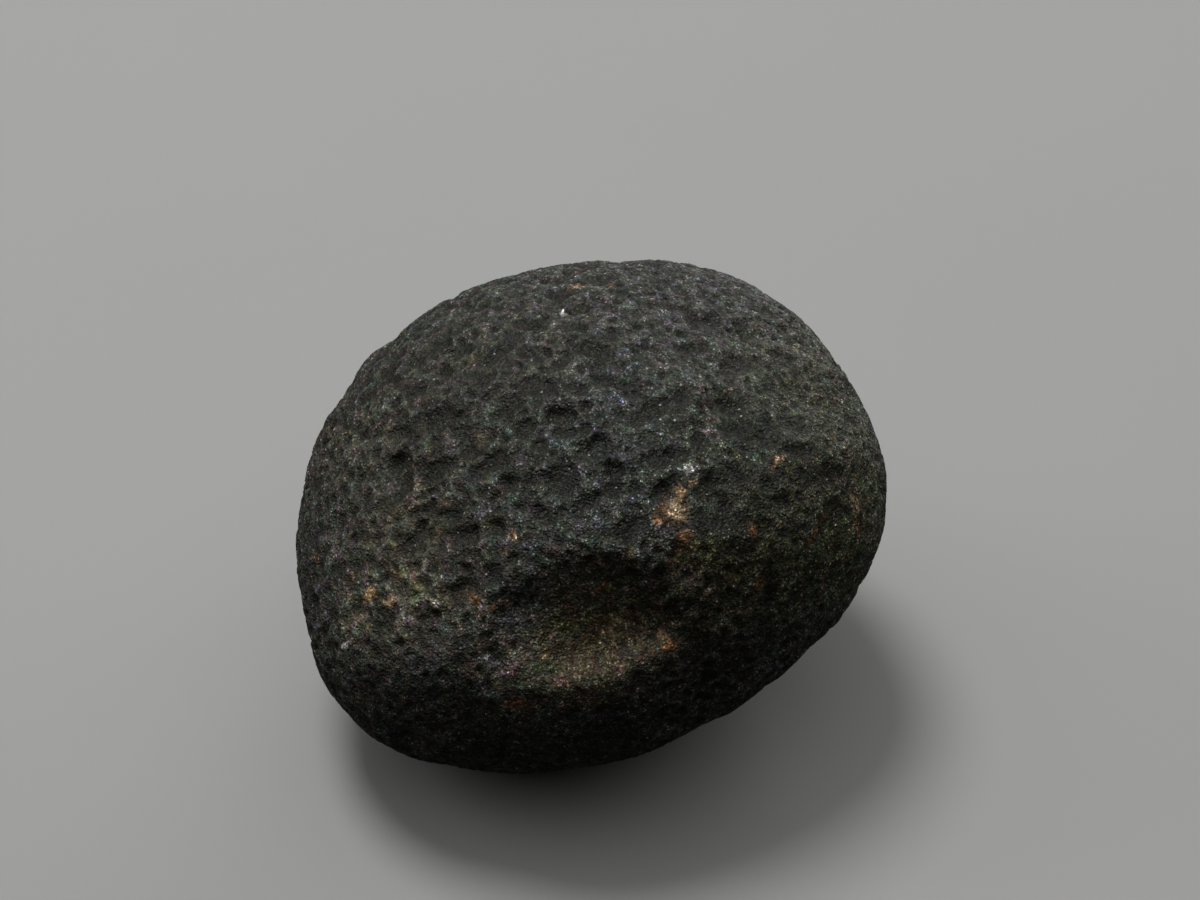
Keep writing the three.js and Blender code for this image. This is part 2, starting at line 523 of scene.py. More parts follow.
# Small stains and specks first, faint broad ones last.
STAINS = (
    Stain(-67, 38, 1.2, 0.95, Tint.CREAM, 1.7, -50),
    Stain(-64, 41, 0.9, 0.5, Tint.SAND, 1.3, 80),
    Stain(-60, 42, 0.7, 0.35, Tint.TAN, 0.8),
    Stain(-69, 39, 1.5, 0.6, Tint.RUST, 1.2, 60),
    Stain(-72, 37, 0.7, 0.5, Tint.OCHRE, 0.9, 60),
    Stain(-67, 32, 0.9, 0.8, Tint.RUST, 1.3),
    Stain(-69, 29, 1.6, 0.45, Tint.RUST, 1.0, 40),
    Stain(-140, 9, 0.8, 0.5, Tint.SAND, 1.7, 80),
    Stain(-140, 4, 0.9, 0.35, Tint.TAN, 0.7, 90),
    Stain(-135, 10, 0.65, 0.45, Tint.CREAM, 1.5, 20),
    Stain(-136, 14, 0.7, 0.55, Tint.TAN, 0.8, -40),
    Stain(-137, 4, 0.8, 0.4, Tint.OLIVE, 0.8, 80),
    Stain(-147, 9, 0.65, 0.35, Tint.OCHRE, 0.9, 80),
    Stain(-141, 16, 1.2, 0.4, Tint.BUFF, 0.6, 40),
    Stain(-116, 18, 0.9, 0.45, Tint.OCHRE, 1.1, -10),
    Stain(-119, 17, 0.9, 0.4, Tint.TAN, 0.8),
    Stain(-110, 18, 1.2, 0.4, Tint.RUST, 1.0, 40),
    Stain(-74, 11, 0.6, 0.45, Tint.SAND, 1.2, -50),
    Stain(-73, 9, 0.9, 0.5, Tint.OCHRE, 1.0, 15),
    Stain(-78, 8, 1.5, 0.9, Tint.RUST, 0.45),
    Stain(-21, 13, 1.3, 0.8, Tint.RUST, 1.1, 90),
    Stain(-19, 17, 1.4, 0.6, Tint.TAN, 1.0, 90),
    Stain(-33, 20, 1.9, 0.6, Tint.RUST, 1.0, 20),
    Stain(-50, 28, 0.9, 0.6, Tint.RUST, 1.0, 90),
    Stain(-51, 17, 1.0, 0.6, Tint.RUST, 1.0, 60),
    Stain(-57, 20, 0.8, 0.6, Tint.OLIVE, 1.1, 70),
    Stain(-61, 26, 1.0, 0.4, Tint.OLIVE, 0.9, 80),
    Stain(-64, 19, 0.8, 0.6, Tint.BUFF, 0.7, 30),
    Stain(-69, 26, 1.3, 0.5, Tint.BUFF, 0.8, 35),
    Stain(-74, 23, 1.1, 0.5, Tint.RUST, 0.8, 10),
    Stain(-80, 31, 1.0, 0.6, Tint.OLIVE, 0.7, -60),
    Stain(-80, 16, 1.0, 0.8, Tint.RUST, 0.65, 40),
    Stain(-86, 23, 1.4, 0.8, Tint.RUST, 0.6),
    Stain(-96, 22, 1.6, 0.8, Tint.RUST, 0.55),
    Stain(-34, 37, 1.5, 0.35, Tint.TAN, 1.0),
    Stain(-14, 30, 0.6, 0.5, Tint.OCHRE, 0.6),
    Stain(-54, 46, 0.5, 0.5, Tint.OLIVE, 0.9),
    Stain(-159, 5, 0.8, 0.6, Tint.RUST, 0.9),
    Stain(-110, 33, 0.55, 0.45, Tint.TAN, 1.2, -50),
    Stain(-117, 33, 0.9, 0.4, Tint.OLIVE, 0.7, -20),
    Stain(-111, 29, 0.8, 0.4, Tint.TAN, 0.6),
    Stain(-134, 33, 0.7, 0.5, Tint.BUFF, 0.7),
    Stain(-172, 61, 0.8, 0.7, Tint.BUFF, 0.8),
    Stain(-137, 50, 0.9, 0.6, Tint.BUFF, 0.9),
    Stain(97, 68, 0.9, 0.8, Tint.TAN, 0.9),
    Stain(77, 68, 0.6, 0.6, Tint.BUFF, 0.7),
    Stain(-99, 8, 0.6, 0.5, Tint.OLIVE, 0.9),
    Stain(-104, -1, 1.4, 0.9, Tint.RUST, 0.9),
    Stain(-114, 4, 1.3, 0.9, Tint.RUST, 0.7),
    Stain(-59, 45, 0.42, 0.34, Tint.CHALK, 3.0),
    Stain(-141, -2, 0.5, 0.34, Tint.CHALK, 3.2, 60),
    Stain(-108, 48, 0.3, 0.3, Tint.CHALK, 1.6),
    Stain(-136, 43, 0.3, 0.3, Tint.CHALK, 1.1),
    Stain(51, 52, 0.4, 0.4, Tint.CHALK, 1.1),
    Stain(126, 79, 0.7, 0.35, Tint.CHALK, 1.1, 40),
    Stain(60, 20, 1.6, 1.0, Tint.RUST),
    Stain(100, 10, 0.9, 1.1, Tint.OCHRE),
    Stain(150, 25, 1.2, 0.8, Tint.TAN),
    Stain(20, 5, 0.9, 0.8, Tint.BUFF),
    Stain(-175, -15, 1.1, 0.7, Tint.RUST),
    Stain(-60, 24, 8.0, 4.0, Tint.RUST, 0.2),
    Stain(-40, 30, 8.0, 6.0, Tint.OLIVE, 0.2),
    Stain(-25, 25, 7.0, 8.0, Tint.OCHRE, 0.17),
    Stain(-85, 12, 9.0, 5.0, Tint.RUST, 0.22),
    Stain(-140, 20, 8.0, 7.0, Tint.RUST, 0.22),
    Stain(10, 40, 9.0, 8.0, Tint.OLIVE, 0.2),
    Stain(90, 20, 12.0, 9.0, Tint.RUST, 0.2),
    Stain(170, 10, 9.0, 9.0, Tint.OCHRE, 0.2),
)


@dataclass(frozen=True)
class ColourAndPaintedLightZone(Spot):
    """A broad part of the skin of a slightly different colour: some are the glass's own casts, some painted
    light and shade.

    Attributes:
        spread: How many degrees it reaches.
        tone: What it multiplies the glass's colour by.
        grain: What it multiplies the strength of the grain by.
    """

    spread: float
    tone: Colour
    grain: float = 1.0

    def share(self, out: Vector) -> float:
        """Returns how much of its effect it has at a place, from 0 to 1."""
        away = self.away(out)
        return 1.0 - smoothstep(away, ZONE_CORE * self.spread, self.spread) if away < self.spread else 0.0


# Broad casts of colour, and lighter and darker parts; many of the latter are painted light and shade.
COLOUR_AND_PAINTED_LIGHT_ZONES = (
    ColourAndPaintedLightZone(-155, 50, 55, (1.04, 1.0, 0.88), 0.78),
    ColourAndPaintedLightZone(-90, 55, 40, (0.92, 1.0, 1.05), 1.2),
    ColourAndPaintedLightZone(-30, 25, 50, (0.94, 1.0, 0.62), 1.15),
    ColourAndPaintedLightZone(-135, 12, 30, (1.6, 1.5, 1.38), 0.8),
    ColourAndPaintedLightZone(-141, 5, 9, (1.5, 1.45, 1.4)),
    ColourAndPaintedLightZone(-130, 15, 9, (1.75, 1.68, 1.6)),
    ColourAndPaintedLightZone(-118, 15, 9, (1.55, 1.5, 1.45)),
    ColourAndPaintedLightZone(-92, 8, 17, (1.5, 1.25, 0.84)),
    ColourAndPaintedLightZone(-78, 12, 9, (1.4, 1.3, 1.2)),
    ColourAndPaintedLightZone(-107, 8, 9, (1.8, 1.7, 1.6)),
    ColourAndPaintedLightZone(-103, -25, 46, (0.80, 0.77, 0.66)),
    ColourAndPaintedLightZone(-28, 42, 20, (0.68, 0.70, 0.66)),
    ColourAndPaintedLightZone(-12, 33, 16, even(0.75)),
    ColourAndPaintedLightZone(-55, 33, 14, (0.72, 0.72, 0.70)),
    ColourAndPaintedLightZone(-85, -8, 15, even(0.70)),
    ColourAndPaintedLightZone(-62, -4, 14, even(0.68)),
    ColourAndPaintedLightZone(-52, 2, 13, even(0.54)),
    ColourAndPaintedLightZone(-66, 7, 7, even(0.65)),
    ColourAndPaintedLightZone(-120, 0, 11, even(0.60)),
    ColourAndPaintedLightZone(-133, -3, 10, even(0.75)),
    ColourAndPaintedLightZone(-20, 8, 24, (1.45, 1.4, 1.3)),
    ColourAndPaintedLightZone(-52, 18, 13, (1.15, 1.1, 1.05)),
    # Painted light where the hollow's brow casts shade at its right end.
    ColourAndPaintedLightZone(-66, 29, 6, (2.6, 2.3, 1.75)),
    # Painted light where the front below the left shoulder turns into shade.
    ColourAndPaintedLightZone(-117, -4, 6, (1.8, 1.7, 1.6)),
    ColourAndPaintedLightZone(-134, 14, 7, (1.4, 1.35, 1.3)),
    ColourAndPaintedLightZone(-147, 37, 6, (1.45, 1.4, 1.4)),
    # Painted shade at the right end of the hollow.
    ColourAndPaintedLightZone(-67, 22, 7, (0.50, 0.46, 0.38)),
    ColourAndPaintedLightZone(-68, 14, 8, (0.68, 0.64, 0.55)),
    ColourAndPaintedLightZone(-115, 6, 7, even(0.68)),
    # Painted light that lowers the line where the right flank turns into shade.
    ColourAndPaintedLightZone(-61, 27, 7, (1.35, 1.3, 1.15)),
    ColourAndPaintedLightZone(-51, 25, 7, (1.35, 1.3, 1.15)),
    ColourAndPaintedLightZone(-42, 21, 8, (1.35, 1.3, 1.2)),
    ColourAndPaintedLightZone(-31, 15, 8, (1.35, 1.3, 1.2)),
    ColourAndPaintedLightZone(-54, 33, 7, even(0.82)),
    ColourAndPaintedLightZone(-64, 12, 26, (1.07, 1.0, 0.80)),
    ColourAndPaintedLightZone(6, 37, 26, (1.0, 1.0, 0.80)),
    ColourAndPaintedLightZone(-133, 27, 8, even(1.35)),
    ColourAndPaintedLightZone(-135, 11, 9, (1.2, 1.2, 1.25)),
    ColourAndPaintedLightZone(-92, -6, 12, even(0.76)),
    ColourAndPaintedLightZone(-45, 60, 12, even(0.85)),
    ColourAndPaintedLightZone(-72, 37, 9, (0.85, 0.84, 0.82)),
    # Painted shade along the left edge.
    ColourAndPaintedLightZone(-160, 3, 9, even(0.72)),
    ColourAndPaintedLightZone(140, 78, 14, even(1.25)),
    ColourAndPaintedLightZone(-118, 15, 8, (1.35, 1.3, 1.3)),
    ColourAndPaintedLightZone(-112, -10, 12, even(0.68)),
    ColourAndPaintedLightZone(-68, -8, 8, even(0.68)),
    ColourAndPaintedLightZone(-34, 42, 14, even(0.68)),
    ColourAndPaintedLightZone(-81, 10, 6, even(0.75)),
    ColourAndPaintedLightZone(-145, 30, 9, (1.3, 1.25, 1.25)),
    ColourAndPaintedLightZone(-88, 20, 22, (1.06, 0.96, 0.72)),
    ColourAndPaintedLightZone(-172, 22, 20, (1.3, 1.25, 1.2)),
)


@dataclass(frozen=True)
class Colouring:
    """The nodule's colouring: its natural colours, with painted light and shade in some zones and in its
    pits.

    Attributes:
        zones: The broad parts of different colour, some of them painted light and shade.
        stains: The stains and specks.
        pit_tone: What the bottom of a pit multiplies the glass's colour by.
    """

    zones: tuple[ColourAndPaintedLightZone, ...] = COLOUR_AND_PAINTED_LIGHT_ZONES
    stains: tuple[Stain, ...] = STAINS
    pit_tone: Colour = (1.0, 0.97, 0.78)

    def tone(self, out: Vector, dark: float) -> ColourAndShare:
        """Mixes the broad zones, painted light and shade among them, at a place.

        Args:
            out: The direction from the middle of the nodule.
            dark: How dark the pits are there.

        Returns:
            What to multiply the glass's colour by, with the strength of the grain as alpha.
        """
        tone = [lerp(1.0, factor, dark) for factor in (*self.pit_tone, 1.0)]
        for zone in self.zones:
            share = zone.share(out)
            if share == 0.0:
                continue
            for channel, factor in enumerate((*zone.tone, zone.grain)):
                tone[channel] *= lerp(1.0, factor, share)
        return tuple(tone)

    def stain(self, out: Vector, reach: float) -> ColourAndShare:
        """Finds the strongest stain at a place.

        Args:
            out: The direction from the middle of the nodule.
            reach: The distance from the middle to the skin.

        Returns:
            The stain's colour, with its cover as alpha.
        """
        covers = [(stain.cover(out, reach), stain.tint.value) for stain in self.stains]
        cover, colour = max(covers, key=lambda entry: entry[0])
        return (*colour, cover)


# ---------------------------------------------------------------- finishes


@dataclass(frozen=True)
class Mottle:
    """One size of blob or grain in a pattern.

    Attributes:
        per_mm: Blobs or grains per millimetre.
        span: From its least to its most: doublings of brightness, a share of cover, or a depth.
        detail: How many finer layers its blobs have.
        rough: How strong the finer layers are.
    """

    per_mm: float
    span: float
    detail: float = 1.0
    rough: float = 0.5


class Shader:
    """A material's node tree, with a short call for each kind of node that the finishes use."""

    def __init__(self, name: str) -> None:
        """Starts a material that holds its surface shader and its place on the piece, in millimetres.

        Args:
            name: The material's name.
        """
        self.material = bpy.data.materials.new(name)
        self.material.use_nodes = True
        self.tree = self.material.node_tree
        self.surface = self.tree.nodes["Principled BSDF"]
        coordinates = self.add("ShaderNodeTexCoord").outputs["Object"]
        mapping = self.add("ShaderNodeMapping", {"Vector": coordinates, "Scale": [1.0 / MM] * 3})
        self.place = mapping.outputs["Vector"]

    def add(
        self, kind: str, inputs: dict[str | int, Value | Paint] | None = None, **settings: str
    ) -> bpy.types.Node:
        """Adds a node, sets its properties and fills its inputs.

        Args:
            kind: The node's type name.
            inputs: Values or sockets by input name or number.
            settings: The node's own properties.

        Returns:
            The new node.
        """
        node = self.tree.nodes.new(kind)
        for name, value in settings.items():
            setattr(node, name, value)
        for key, value in (inputs or {}).items():
            self.feed(node.inputs[key], value)
        return node

    def feed(self, socket: Socket, value: Value | Paint) -> None:
        """Links a socket into an input, or sets the input's own value.

        Args:
            socket: The input.
            value: Another node's output, or a plain value.
        """
        if isinstance(value, Socket):
            self.tree.links.new(value, socket)
        else:
            socket.default_value = value

    def attribute(self, name: str) -> bpy.types.Node:
        """Returns a node that reads one of the values that the skin carries."""
        return self.add("ShaderNodeAttribute", attribute_name=name)

    def cloud(self, blobs: Mottle) -> bpy.types.Node:
        """Adds a fractal noise.

        Args:
            blobs: The size and the layers of its blobs.

        Returns:
            The noise node.
        """
        values = {"Scale": blobs.per_mm, "Detail": blobs.detail, "Roughness": blobs.rough}
        return self.add("ShaderNodeTexNoise", {"Vector": self.place, **values})

    def cells(self, per_mm: float) -> bpy.types.Node:
        """Returns a cell pattern whose colour is a random value for each cell."""
        return self.add("ShaderNodeTexVoronoi", {"Vector": self.place, "Scale": per_mm})

    def luck(self, cells: bpy.types.Node, channel: str) -> Socket:
        """Picks one random value for each cell of a pattern.

        Args:
            cells: The cell pattern.
            channel: Which of its colour's channels to read.

        Returns:
            The random value, from 0 to 1.
        """
        return self.add("ShaderNodeSeparateColor", {"Color": cells.outputs["Color"]}).outputs[channel]

    def ease(self, value: Value, start: float, end: float, low: float = 0.0, high: float = 1.0) -> Socket:
        """Maps a value from one range to another with soft ends.

        Args:
            value: The value or socket.
            start: Where the result is low.
            end: Where the result is high.
            low: The first result.
            high: The last result.

        Returns:
            The mapped value.
        """
        node = self.add(
            "ShaderNodeMapRange",
            {"Value": value, "From Min": start, "From Max": end, "To Min": low, "To Max": high},
            interpolation_type="SMOOTHSTEP",
        )
        return node.outputs["Result"]

    def reckon(self, operation: str, first: Value, second: Value) -> Socket:
        """Joins two values with an arithmetic operation.

        Args:
            operation: The operation's name, such as MULTIPLY.
            first: A value or socket.
            second: A value or socket.

        Returns:
            The result.
        """
        return self.add("ShaderNodeMath", {0: first, 1: second}, operation=operation).outputs["Value"]

    def total(self, *values: Value) -> Socket:
        """Adds values up.

        Args:
            values: The values or sockets.

        Returns:
            Their sum.
        """
        result = values[0]
        for value in values[1:]:
            result = self.reckon("ADD", result, value)
        return result

    def swing(self, value: Socket, span: float) -> Socket:
        """Turns a value from 0 to 1 into one that swings evenly about 0.

        Args:
            value: The value.
            span: The distance from its least to its most.

        Returns:
            The swinging value.
        """
        return self.reckon("MULTIPLY", self.reckon("SUBTRACT", value, 0.5), span)

    def blend(self, share: Value, first: Paint, second: Paint, mode: str = "MIX") -> Socket:
        """Blends two colours.

        Args:
            share: How much of the second colour shows.
            first: A colour or socket.
            second: A colour or socket.
            mode: The blend mode.

        Returns:
            The blended colour.
        """
        node = self.add("ShaderNodeMix", data_type="RGBA", blend_type=mode)
        self.feed(node.inputs["Factor"], share)
        for number, colour in zip(MIX_COLOURS, (first, second)):
            self.feed(node.inputs[number], colour if isinstance(colour, Socket) else (*colour, 1.0))
        return node.outputs[MIX_RESULT]

    def relief(self, height: Socket, depth: float, base: Socket | None = None) -> Socket:
        """Turns a height into a bumped normal.

        Args:
            height: The height, from 0 to 1.
            depth: How deep a height of 1 is.
            base: The normal to bump further, if there is one.

        Returns:
            The bumped normal.
        """
        bump = self.add("ShaderNodeBump", {"Height": height, "Distance": depth * MM, "Strength": 1.0})
        if base is not None:
            self.feed(bump.inputs["Normal"], base)
        return bump.outputs["Normal"]


@dataclass(frozen=True)
class FrostedGlass:
    """Dark natural glass with a frosted, etched skin: pale on its high grains, dark in its pits partly by
    painted shade.

    Attributes:
        glass: The skin's colour where nothing lightens or darkens it.
        clouds: Soft light and dark, coarse to fine.
        grains: Light and dark grain by grain.
        glints: The finest grains, of which only a few are light: painted glints.
        glint_rarity: The power that makes the light ones few.
        hues: The faint wandering of the hue.
        hue_share: How strongly the hue wanders.
        pit_colour_and_shade_stops: How many times the brightness is halved at the bottom of a pit: partly
            darker glass, partly painted shade.
        blue_share: How much more the blue follows the light and dark than the other colours do.
        ragged: The clouds that break up a stain's edge.
        crumbs: The grains that break up a stain's edge.
        cover_range: The broken-up cover at which a stain starts to show and hides the glass.
        edge_range: The plain cover over which a stain fades in, so that it keeps to its place.
        rim: What a stain's thin edge multiplies its colour by.
        rim_range: The broken-up cover of a stain's thin edge and of its thick middle.
        stain_share: How much of the light and dark shows on a stain.
        glint_speck_colour: The colour of the brightest specks, which are painted glints.
        speck_per_mm: Cells per millimetre that may hold a bright speck.
        speck_share: The share of those cells that hold one.
        speck_range: How far a speck's edge and its solid middle are from its centre, in cells.
        rough_low: The roughness of the glossiest grains.
        rough_high: The roughness of the dullest grains.
        refraction: The glass's index of refraction.
        bumps: The unevenness too fine for the mesh, coarse to fine.
        grain_bump: How deep the gaps between the grains are.
    """

    glass: Colour = (0.0460, 0.0470, 0.0383)
    clouds: tuple[Mottle, ...] = (Mottle(0.9, 1.8), Mottle(2.2, 2.3), Mottle(4.6, 3.3))
    grains: Mottle = Mottle(8.0, 1.9)
    glints: Mottle = Mottle(15.0, 3.0)
    glint_rarity: float = 5.0
    hues: Mottle = Mottle(1.6, 1.0, detail=3.0, rough=0.6)
    hue_share: float = 0.7
    pit_colour_and_shade_stops: float = 2.7
    blue_share: float = 1.13
    ragged: Mottle = Mottle(4.0, 1.8, detail=3.0, rough=0.7)
    crumbs: Mottle = Mottle(9.0, 0.6)
    cover_range: tuple[float, float] = (0.25, 1.05)
    edge_range: tuple[float, float] = (0.02, 0.3)
    rim: Colour = (0.62, 0.46, 0.36)
    rim_range: tuple[float, float] = (0.4, 1.2)
    stain_share: float = 0.85
    glint_speck_colour: Colour = (0.45, 0.45, 0.44)
    speck_per_mm: float = 8.0
    speck_share: float = 0.004
    speck_range: tuple[float, float] = (0.55, 0.25)
    rough_low: float = 0.42
    rough_high: float = 0.85
    refraction: float = 1.49
    bumps: tuple[Mottle, ...] = (
        Mottle(2.6, 0.16, detail=3.0, rough=0.6),
        Mottle(7.0, 0.09, detail=2.0, rough=0.7),
    )
    grain_bump: float = 0.05

    def material(self) -> bpy.types.Material:
        """Builds the material.

        Returns:
            The finished material.
        """
        shader = Shader("frosted dark glass")
        gloss = shader.luck(shader.cells(self.grains.per_mm), "Blue")
        shader.feed(shader.surface.inputs["Base Color"], self.scatter_glint_specks(shader, self.lighten(shader)))
        rough = shader.ease(gloss, 0.0, 1.0, self.rough_low, self.rough_high)
        shader.feed(shader.surface.inputs["Roughness"], rough)
        shader.feed(shader.surface.inputs["IOR"], self.refraction)
        shader.feed(shader.surface.inputs["Normal"], self.roughen(shader))
        return shader.material

    def lighten(self, shader: Shader) -> Socket:
        """Colours the glass and its stains, lighter and darker by mottling and pits, with painted shade in
        the pits.

        Args:
            shader: The node tree.

        Returns:
            The colour.
        """
        tone = shader.attribute("tone")
        grain = shader.reckon("MULTIPLY", self.glitter(shader), tone.outputs["Alpha"])
        # Pit bottoms darkened in the colour: partly the pits' darker glass, partly painted shade.
        pits = shader.reckon("MULTIPLY", shader.attribute("pit").outputs["Fac"], -self.pit_colour_and_shade_stops)
        clouds = [shader.swing(shader.cloud(blobs).outputs["Fac"], blobs.span) for blobs in self.clouds]
        stops = shader.total(pits, *clouds, grain)
        glass = shader.blend(1.0, tone.outputs["Color"], self.glass, mode="MULTIPLY")
        hue = shader.cloud(self.hues).outputs["Color"]
        glass = shader.blend(self.hue_share, glass, hue, mode="OVERLAY")
        return self.stain(shader, self.expose(shader, glass, stops, 1.0), stops)

    def glitter(self, shader: Shader) -> Socket:
        """Works out how light or dark each grain is, with painted glints on a few of the finest.

        Args:
            shader: The node tree.

        Returns:
            How many times the grain doubles the brightness.
        """
        # Painted glints: a few of the finest grains made far lighter.
        glint = shader.luck(shader.cells(self.glints.per_mm), "Green")
        glint = shader.reckon("POWER", glint, self.glint_rarity)
        glint = shader.reckon("MULTIPLY", glint, self.glints.span)
        grain = shader.luck(shader.cells(self.grains.per_mm), "Red")
        return shader.total(glint, shader.swing(grain, self.grains.span))

    def stain(self, shader: Shader, glass: Socket, stops: Socket) -> Socket:
        """Lays the stains over the glass, broken up into grains and redder towards their edges.

        Args:
            shader: The node tree.
            glass: The colour of the glass.
            stops: How many times the mottling doubles the brightness.

        Returns:
            The colour.
        """
        stain = shader.attribute("stain")
        alpha = stain.outputs["Alpha"]
        ragged = shader.swing(shader.cloud(self.ragged).outputs["Fac"], self.ragged.span)
        crumbs = shader.swing(shader.luck(shader.cells(self.crumbs.per_mm), "Blue"), self.crumbs.span)
        broken = shader.total(alpha, ragged, crumbs)
        edge = shader.ease(alpha, *self.edge_range)
        cover = shader.reckon("MULTIPLY", shader.ease(broken, *self.cover_range), edge)
        rim = shader.blend(1.0, stain.outputs["Color"], self.rim, mode="MULTIPLY")
        colour = shader.blend(shader.ease(broken, *self.rim_range), rim, stain.outputs["Color"])
        return shader.blend(cover, glass, self.expose(shader, colour, stops, self.stain_share))

    def expose(self, shader: Shader, colour: Socket, stops: Socket, share: float) -> Socket:
        """Lightens or darkens a colour.

        Args:
            shader: The node tree.
            colour: The colour.
            stops: How many times its brightness is doubled.
            share: How much of that is used.

        Returns:
            The changed colour.
        """
        main = shader.reckon("POWER", 2.0, shader.reckon("MULTIPLY", stops, share))
        blue = shader.reckon("POWER", 2.0, shader.reckon("MULTIPLY", stops, share * self.blue_share))
        light = shader.add("ShaderNodeCombineXYZ", {0: main, 1: main, 2: blue}).outputs["Vector"]
        product = shader.add("ShaderNodeVectorMath", {0: colour, 1: light}, operation="MULTIPLY")
        return product.outputs["Vector"]

    def scatter_glint_specks(self, shader: Shader, colour: Socket) -> Socket:
        """Scatters a few bright specks, painted glints.

        Args:
            shader: The node tree.
            colour: The colour that they lie on.

        Returns:
            The colour with the specks.
        """
        # Painted glints: a few bright specks laid over the colour.
        cells = shader.cells(self.speck_per_mm)
        chosen = shader.reckon("GREATER_THAN", shader.luck(cells, "Green"), 1.0 - self.speck_share)
        near = shader.ease(cells.outputs["Distance"], *self.speck_range)
        return shader.blend(shader.reckon("MULTIPLY", chosen, near), colour, self.glint_speck_colour)

    def roughen(self, shader: Shader) -> Socket:
        """Roughens the skin with grain too fine for the mesh.

        Args:
            shader: The node tree.

        Returns:
            The bumped normal.
        """
        normal = None
        for bumps in self.bumps:
            normal = shader.relief(shader.cloud(bumps).outputs["Fac"], bumps.span, normal)
        return shader.relief(shader.cells(self.grains.per_mm).outputs["Distance"], self.grain_bump, normal)


@dataclass(frozen=True)
class PaleFloor:
    """A plain pale matte floor.

    Attributes:
        light: The lighter of its two close shades.
        dark: The darker.
        shades: The size of the soft patches that they make.
        roughness: How matte it is.
    """

    light: Colour = (0.42, 0.42, 0.41)
    dark: Colour = (0.4074, 0.4074, 0.3977)
    shades: Mottle = Mottle(0.04, 1.0, detail=3.0)
    roughness: float = 0.9

    def material(self) -> bpy.types.Material:
        """Builds the material.

        Returns:
            The finished material.
        """
        shader = Shader("plain pale floor")
        colour = shader.blend(shader.cloud(self.shades).outputs["Fac"], self.dark, self.light)
        shader.feed(shader.surface.inputs["Base Color"], colour)
        shader.feed(shader.surface.inputs["Roughness"], self.roughness)
        return shader.material


# ---------------------------------------------------------------- pieces


@dataclass
class Nodule:
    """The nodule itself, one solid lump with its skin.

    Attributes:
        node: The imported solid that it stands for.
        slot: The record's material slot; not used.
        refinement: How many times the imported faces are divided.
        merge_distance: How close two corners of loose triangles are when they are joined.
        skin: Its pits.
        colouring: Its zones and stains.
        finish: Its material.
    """

    node: str = "nodule"
    slot: str = "frosted_glass"
    refinement: int = 2
    merge_distance: float = 0.001
    skin: Skin = field(default_factory=Skin)
    colouring: Colouring = field(default_factory=Colouring)
    finish: FrostedGlass = field(default_factory=FrostedGlass)

    def build(self) -> bpy.types.Object:
        """Makes the nodule, dresses it and ties it to its solid.

        Returns:
            The finished object.
        """
        piece = bpy.data.objects.new("frosted_nodule", self.rounded_body())
        bpy.context.scene.collection.objects.link(piece)
        self.grow_skin(piece.data)
        self.dress(piece)
        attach(piece, "root")
        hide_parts(self.node)
        return piece

    def rounded_body(self) -> bpy.types.Mesh:
        """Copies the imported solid, joins its loose triangles and rounds them off.

        Returns:
            The rounded body's mesh.
        """
        body = bmesh.new()
        body.from_mesh(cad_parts[self.node].data)
        bmesh.ops.remove_doubles(body, verts=body.verts, dist=self.merge_distance * MM)
        joined = bpy.data.meshes.new("joined body")
        body.to_mesh(joined)
        body.free()
        draft = bpy.data.objects.new("draft", joined)
        bpy.context.scene.collection.objects.link(draft)
        rounding = draft.modifiers.new("rounding", "SUBSURF")
        rounding.levels = self.refinement
        rounding.render_levels = self.refinement
        graph = bpy.context.evaluated_depsgraph_get()
        rounded = bpy.data.meshes.new_from_object(draft.evaluated_get(graph))
        bpy.data.objects.remove(draft)
        return rounded

    def grow_skin(self, mesh: bpy.types.Mesh) -> None:
        """Sinks the pits into the body and notes pits, tones and stains for the material.

        Args:
            mesh: The rounded body.
        """
        low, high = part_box(self.node)
        middle = (low + high) / 2.0
        body = bmesh.new()
        body.from_mesh(mesh)
        body.normal_update()
        pit_layer = body.verts.layers.float.new("pit")
        tone_layer = body.verts.layers.float_color.new("tone")
        stain_layer = body.verts.layers.float_color.new("stain")
        arms = [(vert.co - middle) / MM for vert in body.verts]
        outs = [arm.normalized() for arm in arms]
        carved = self.skin.carve([vert.co / MM for vert in body.verts], outs)
        for vert, arm, out, (depth, dark) in zip(body.verts, arms, outs, carved):
            # The pit darkness and the tones hold painted shade and light besides the glass's own colour.
            vert[pit_layer] = dark
            vert[tone_layer] = self.colouring.tone(out, dark)
            vert[stain_layer] = self.colouring.stain(out, arm.length)
            moved = vert.co + vert.normal * (self.skin.crest - depth) * MM
            vert.co = [min(max(value, least), most) for value, least, most in zip(moved, low, high)]
        body.to_mesh(mesh)
        body.free()
        mesh.shade_smooth()

    def dress(self, piece: bpy.types.Object) -> None:
        """Gives the piece its material in place of the solid's."""
        piece.data.materials.clear()
        piece.data.materials.append(self.finish.material())


@dataclass
class Lamp:
    """A round soft light.

    Attributes:
        name: What it is for.
        azimuth: Degrees round to it.
        elevation: Degrees up to it.
        distance: How far off it is, in metres.
        size: Its diameter, in metres.
        power: Its power in watts.
    """

    name: str
    azimuth: float
    elevation: float
    distance: float
    size: float
    power: float

    def build(self, target: Vector) -> bpy.types.Object:
        """Hangs the light and aims it.

        Args:
            target: The point it shines at.

        Returns:
            The light.
        """
        data = bpy.data.lights.new(self.name, "AREA")
        data.shape = "DISK"
        data.size = self.size
        data.energy = self.power
        lamp = bpy.data.objects.new(self.name, data)
        aim(lamp, target, direction(self.azimuth, self.elevation), self.distance)
        return lamp


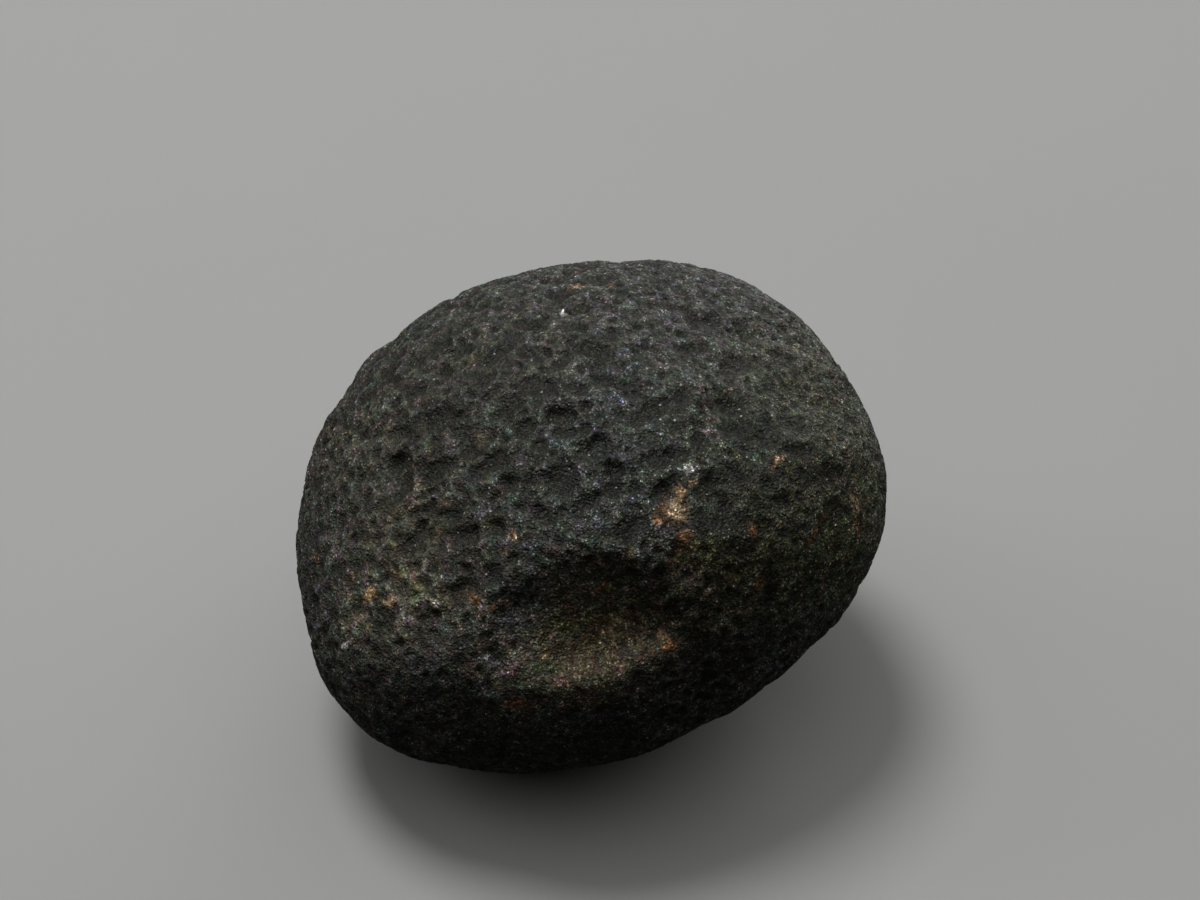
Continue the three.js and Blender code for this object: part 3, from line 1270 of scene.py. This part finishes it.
@dataclass
class Studio:
    """The floor, the lights and the weak light all round.

    Attributes:
        floor_size: The length of the floor's sides, in metres.
        floor: The floor's material.
        surround: The strength of the light all round.
        surround_colour: Its colour.
        lamps: The lights.
    """

    floor_size: float = 2.0
    floor: PaleFloor = field(default_factory=PaleFloor)
    surround: float = 0.02
    surround_colour: Colour = (1.0, 1.0, 1.0)
    lamps: tuple[Lamp, ...] = (
        Lamp("high key light", azimuth=135, elevation=72, distance=0.45, size=0.16, power=1.0),
        Lamp("overhead softbox", azimuth=0, elevation=90, distance=0.59, size=1.15, power=1.6),
        Lamp("low back light", azimuth=65, elevation=14, distance=0.70, size=0.5, power=1.3),
        Lamp("left fill", azimuth=168, elevation=25, distance=0.60, size=0.4, power=0.5),
        Lamp("right fill", azimuth=25, elevation=20, distance=0.60, size=0.3, power=0.3),
    )

    def build(self, target: Vector) -> bpy.types.Object:
        """Lays the floor and hangs the lights.

        Args:
            target: The point that the lights shine at.

        Returns:
            The floor.
        """
        for lamp in self.lamps:
            lamp.build(target)
        world = bpy.data.worlds.new("studio surround")
        world.use_nodes = True
        glow = world.node_tree.nodes["Background"]
        glow.inputs["Strength"].default_value = self.surround
        glow.inputs["Color"].default_value = (*self.surround_colour, 1.0)
        bpy.context.scene.world = world
        bpy.context.scene.view_settings.view_transform = "Standard"
        return self.lay_floor()

    def lay_floor(self) -> bpy.types.Object:
        """Lays the floor at the nodule's foot.

        Returns:
            The floor.
        """
        sheet = bmesh.new()
        bmesh.ops.create_grid(sheet, x_segments=1, y_segments=1, size=self.floor_size / 2.0)
        mesh = bpy.data.meshes.new("floor")
        sheet.to_mesh(mesh)
        sheet.free()
        mesh.materials.append(self.floor.material())
        floor = bpy.data.objects.new("floor", mesh)
        floor.visible_diffuse = False
        floor.visible_glossy = False
        bpy.context.scene.collection.objects.link(floor)
        return floor


@dataclass
class Viewpoint:
    """The camera, close to the nodule and looking down on its front.

    Attributes:
        azimuth: Degrees round to it.
        elevation: Degrees that it looks down.
        distance: From the middle of the nodule, in metres.
        lens: Focal length on a full-frame sensor.
        aside: How far the nodule stands to the left of the middle of the view, as a share of its width.
        below: How far the nodule stands below the middle of the view, as a share of its width.
    """

    azimuth: float = -90.0
    elevation: float = 40.0
    distance: float = 0.111
    lens: float = 70.0
    aside: float = 0.0092
    below: float = 0.0508

    def build(self, target: Vector) -> bpy.types.Object:
        """Places the camera and makes it the scene's own.

        Args:
            target: The point it looks at, before its shift.

        Returns:
            The camera.
        """
        data = bpy.data.cameras.new("view camera")
        data.lens = self.lens
        data.clip_start = MM
        data.shift_x = self.aside
        data.shift_y = self.below
        camera = bpy.data.objects.new("view camera", data)
        aim(camera, target, direction(self.azimuth, self.elevation), self.distance)
        bpy.context.scene.camera = camera
        return camera


# ---------------------------------------------------------------- main


def main() -> None:
    """Builds the camera, the nodule and the studio in turn, and logs what it built."""
    logging.basicConfig(level=logging.INFO, format="%(message)s")
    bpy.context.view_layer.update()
    nodule = Nodule()
    low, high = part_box(nodule.node)
    middle = (low + high) / 2.0
    camera = Viewpoint().build(middle)
    LOG.info("%s placed", camera.name)
    piece = nodule.build()
    LOG.info("%s: %d faces", piece.name, len(piece.data.polygons))
    floor = Studio().build(middle)
    LOG.info("%s laid and lights hung", floor.name)
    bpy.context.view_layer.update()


if __name__ == "__main__":
    main()
